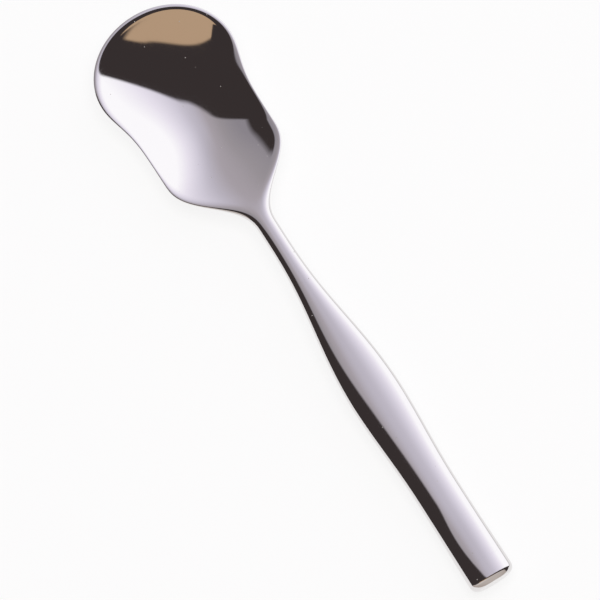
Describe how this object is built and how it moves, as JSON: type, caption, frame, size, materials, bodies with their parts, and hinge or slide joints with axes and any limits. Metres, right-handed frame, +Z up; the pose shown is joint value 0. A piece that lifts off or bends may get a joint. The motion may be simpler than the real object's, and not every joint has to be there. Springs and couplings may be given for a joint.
{
  "type": "ice cream spoon",
  "caption": "Polished steel ice cream spoon: a shallow fan-shaped bowl with a waist, a slim neck and a full, rounded hollow handle with a blunt butt.",
  "frame": {"origin": "on the table plane, under the middle of the spoon's box: halfway from bowl tip to butt, on the plane of symmetry", "axes": "+X from the butt toward the tip of the bowl, +Y across the spoon to its left, +Z up, out of the bowl's hollow"},
  "size_m": [0.14, 0.0314, 0.008],
  "materials": {
    "polished_steel": "mirror-polished stainless steel",
    "set_cement": "rough cast cement"
  },
  "bodies": {
    "root": {"bowl": "polished_steel", "handle_upper_shell": "polished_steel", "handle_lower_shell": "polished_steel", "butt_cap": "polished_steel", "handle_filler": "set_cement"}
  },
  "joints": []
}
